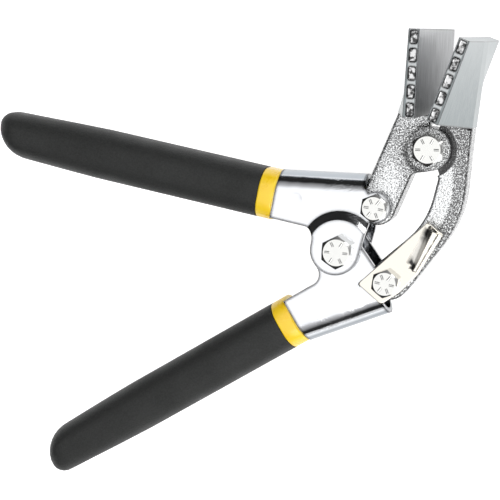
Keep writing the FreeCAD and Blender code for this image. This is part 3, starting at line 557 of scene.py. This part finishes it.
def yellow_collar():
    made = Material("yellow_collar", (0.93, 0.62, 0.02), 0.28)
    broad = made.noise(made.place, 160.0, 2.0)
    patches = made.remap(broad, 0.3, 0.7, 0.0, 1.0)
    colour = made.colours(patches, (0.90, 0.56, 0.010), (0.96, 0.68, 0.03))
    rough = made.remap(broad, 0.3, 0.7, 0.22, 0.36)
    made.shader.inputs["Coat Weight"].default_value = 0.3
    return made.finish(colour=colour, roughness=rough)


FINISHES = {
    # The two handles' plates differ only in how dark their painted back shade is.
    "upper_handle_plate": chrome_plate("upper_handle_plate", (0.36, 0.385, 0.41)),
    "lower_handle_plate": chrome_plate("lower_handle_plate", (0.25, 0.27, 0.29)),
    "short_jaw_casting": jaw_casting("short_jaw_casting", SHORT_JAW_ANGLE, 1, short_arm_shade),
    "long_jaw_casting": jaw_casting("long_jaw_casting", LONG_JAW_ANGLE, -1, long_arm_shade),
    "bright_fastener": bright_fastener(),
    "nickel_plate": nickel_plate(),
    "spring_steel": spring_steel(),
    "black_grip": black_grip(),
    "yellow_collar": yellow_collar(),
}


def coat(item, slot):
    item.data.materials.clear()
    item.data.materials.append(FINISHES[slot])


# Pieces whose painted shade follows their own shape; all others take their slot's finish
OWN_FINISH = {
    "short_arm_jaw": "short_jaw_casting",
    "long_arm_jaw": "long_jaw_casting",
    "upper_handle": "upper_handle_plate",
    "lower_handle": "lower_handle_plate",
}


def coat_frame():
    for part in frame["record"]["subparts"]:
        coat(nodes[part["node"]], OWN_FINISH.get(part["node"], part["material_slot"]))


# ---------------------------------------------------------------- pieces

BODY_OF = {
    node: body
    for body, members in frame["record"]["behaviour"]["bodies"].items()
    for node in members
}
SLOT_OF = {part["node"]: part["material_slot"] for part in frame["record"]["subparts"]}


def stand_for(piece, *names):
    """The piece takes over from these nodes: it joins their body, and they are hidden."""
    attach(piece, BODY_OF[names[0]])
    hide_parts(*names)


def eased(node, name, width):
    """A copy of a node with its sharp edges rounded, as a pressed plate's edges are."""
    nothing_selected()
    piece = nodes[node].copy()
    piece.data = nodes[node].data.copy()
    piece.name = name
    piece.parent = None
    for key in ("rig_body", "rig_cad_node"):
        if key in piece:
            del piece[key]
    bpy.context.scene.collection.objects.link(piece)
    bpy.context.view_layer.objects.active = piece
    piece.select_set(True)
    bpy.ops.object.mode_set(mode="EDIT")
    bpy.ops.mesh.select_all(action="SELECT")
    bpy.ops.mesh.remove_doubles(threshold=0.005 * MM)
    flat, any_shape = math.radians(0.8), math.radians(180)
    bpy.ops.mesh.tris_convert_to_quads(face_threshold=flat, shape_threshold=any_shape)
    bpy.ops.object.mode_set(mode="OBJECT")
    rounding = piece.modifiers.new("rounding", "BEVEL")
    rounding.width = width
    rounding.segments = 2
    rounding.limit_method = "ANGLE"
    rounding.angle_limit = math.radians(35)
    rounding.use_clamp_overlap = False
    rounding.miter_outer = "MITER_ARC"
    bpy.ops.object.modifier_apply(modifier=rounding.name)
    bpy.ops.object.shade_smooth_by_angle(angle=math.radians(40))
    flats = piece.modifiers.new("flats", "WEIGHTED_NORMAL")
    flats.weight = 100
    flats.keep_sharp = True
    bpy.ops.object.modifier_apply(modifier=flats.name)
    coat(piece, SLOT_OF[node])
    stand_for(piece, node)


def handle_turn(upper):
    """The turn and place that take a handle's own axes to the frame: +X to the butt, +Y to its back."""
    ahead = direction(180 - HANDLE_ANGLE if upper else 180 + HANDLE_ANGLE)
    aside = aside_of(ahead) * (-1 if upper else 1)
    turn = Matrix((ahead, aside, ahead.cross(aside))).transposed()
    return Matrix.Translation(HANDLE_PIVOT) @ turn.to_4x4()


def settle(piece, matrix):
    """Puts a piece in its place with the object left at the origin."""
    nothing_selected()
    bpy.context.view_layer.objects.active = piece
    piece.select_set(True)
    piece.matrix_world = matrix
    bpy.ops.object.transform_apply(location=True, rotation=True, scale=True)
    bpy.ops.object.mode_set(mode="EDIT")
    bpy.ops.mesh.select_all(action="SELECT")
    bpy.ops.mesh.remove_doubles(threshold=0.002 * MM)
    bpy.ops.mesh.normals_make_consistent(inside=False)
    bpy.ops.object.mode_set(mode="OBJECT")


def corner_inset(reach, radius):
    """How far a rounded corner stands in, at a distance from the end."""
    if reach >= radius:
        return 0.0
    return radius - math.sqrt(max(0.0, radius ** 2 - (radius - reach) ** 2))


def grip_sides(ahead, end):
    """(inner line, outer line, half thickness) of a grip at a distance along its handle."""
    reach = end - ahead
    taper = BUTT_TAPER * max(0.0, 1 - reach / BUTT_TAPER_LENGTH)
    inner = GRIP_CENTRE - GRIP_WIDTH / 2 + taper + corner_inset(reach, BUTT_INNER_RADIUS)
    outer = GRIP_CENTRE + GRIP_WIDTH / 2 - taper - corner_inset(reach, BUTT_OUTER_RADIUS)
    half = GRIP_THICKNESS / 2 - corner_inset(reach, BUTT_SIDE_RADIUS)
    return inner, outer, half


def box_bar(name, start, length, low, high, half, corner, segments):
    """A straight bar along +X with its four long edges rounded and both ends flat."""
    nothing_selected()
    middle = (start + length / 2, (low + high) / 2, 0)
    size = (length, high - low, 2 * half)
    bpy.ops.mesh.primitive_cube_add(size=1, location=middle, scale=size)
    bar = bpy.context.object
    bar.name = name
    bpy.ops.object.transform_apply(location=True, rotation=True, scale=True)
    bpy.ops.object.mode_set(mode="EDIT")
    bpy.ops.mesh.select_all(action="DESELECT")
    bpy.ops.mesh.select_mode(type="EDGE")
    bpy.ops.object.mode_set(mode="OBJECT")
    for edge in bar.data.edges:
        first, second = (bar.data.vertices[index].co for index in edge.vertices)
        edge.select = abs(first.x - second.x) > length / 2
    bpy.ops.object.mode_set(mode="EDIT")
    bpy.ops.mesh.bevel(
        offset=corner, offset_type="OFFSET", segments=segments, profile=0.5, affect="EDGES"
    )
    bpy.ops.object.mode_set(mode="OBJECT")
    return bar


def select_end_face(bar, at):
    """Leaves edit mode on, with only the bar's flat end at this distance selected."""
    bpy.ops.object.mode_set(mode="EDIT")
    bpy.ops.mesh.select_mode(type="FACE")
    bpy.ops.mesh.select_all(action="DESELECT")
    bpy.ops.object.mode_set(mode="OBJECT")
    for face in bar.data.polygons:
        face.select = abs(face.center.x - at) < 0.001 * MM and abs(face.normal.x) > 0.9
    bpy.ops.object.mode_set(mode="EDIT")


FIRST_STEP = 4 * MM
BUTT_STEPS = (15, 12, 9.5, 7.5, 5.8, 4.4, 3.2, 2.2, 1.4, 0.8, 0.35, 0.08)  # mm before the butt


def make_grip(name, upper, end, node):
    """The grip's body, drawn out step by step towards the rounded butt."""
    start = GRIP_START
    inner, outer, half = grip_sides(start, end)
    bar = box_bar(name, start, FIRST_STEP, inner, outer, half, GRIP_CORNER, 8)
    at = start + FIRST_STEP
    select_end_face(bar, at)
    stations = [start + share * (end - start) for share in (0.15, 0.3, 0.45, 0.6, 0.72, 0.8)]
    stations += [end - reach * MM for reach in BUTT_STEPS]
    for station in stations:
        new_inner, new_outer, new_half = grip_sides(station, end)
        centre = (inner + outer) / 2
        new_centre = (new_inner + new_outer) / 2
        step = (station - at, new_centre - centre, 0)
        bpy.ops.mesh.extrude_region_move(TRANSFORM_OT_translate={"value": step})
        shrink = (1, (new_outer - new_inner) / (outer - inner), new_half / half)
        bpy.ops.transform.resize(value=shrink, center_override=(station, new_centre, 0))
        inner, outer, half, at = new_inner, new_outer, new_half, station
    bpy.ops.mesh.inset(thickness=0.6 * MM, depth=0.03 * MM)
    bpy.ops.object.mode_set(mode="OBJECT")
    nothing_selected()
    bar.select_set(True)
    bpy.context.view_layer.objects.active = bar
    bpy.ops.object.shade_smooth_by_angle(angle=math.radians(50))
    settle(bar, handle_turn(upper))
    coat(bar, "black_grip")
    stand_for(bar, node)


def make_collar(name, upper, node):
    """The coloured band at the front of a grip, with softly rounded rims."""
    length = GRIP_START - COLLAR_START
    low = GRIP_CENTRE - GRIP_WIDTH / 2
    high = GRIP_CENTRE + GRIP_WIDTH / 2
    bar = box_bar(name, COLLAR_START, length, low, high, GRIP_THICKNESS / 2, GRIP_CORNER, 10)
    rounding = bar.modifiers.new("rims", "BEVEL")
    rounding.width = 0.7 * MM
    rounding.segments = 4
    rounding.limit_method = "ANGLE"
    rounding.angle_limit = math.radians(60)
    bpy.ops.object.modifier_apply(modifier=rounding.name)
    bpy.ops.object.shade_smooth_by_angle(angle=math.radians(50))
    settle(bar, handle_turn(upper))
    coat(bar, "yellow_collar")
    stand_for(bar, node)


set_studio()
coat_frame()

make_grip("upper_grip_sleeve", True, UPPER_GRIP_END, "upper_grip")
make_grip("lower_grip_sleeve", False, LOWER_GRIP_END, "lower_grip")
make_collar("upper_collar_band", True, "upper_collar")
make_collar("lower_collar_band", False, "lower_collar")
eased("latch_plate", "latch_thumb_plate", LATCH_EDGE)
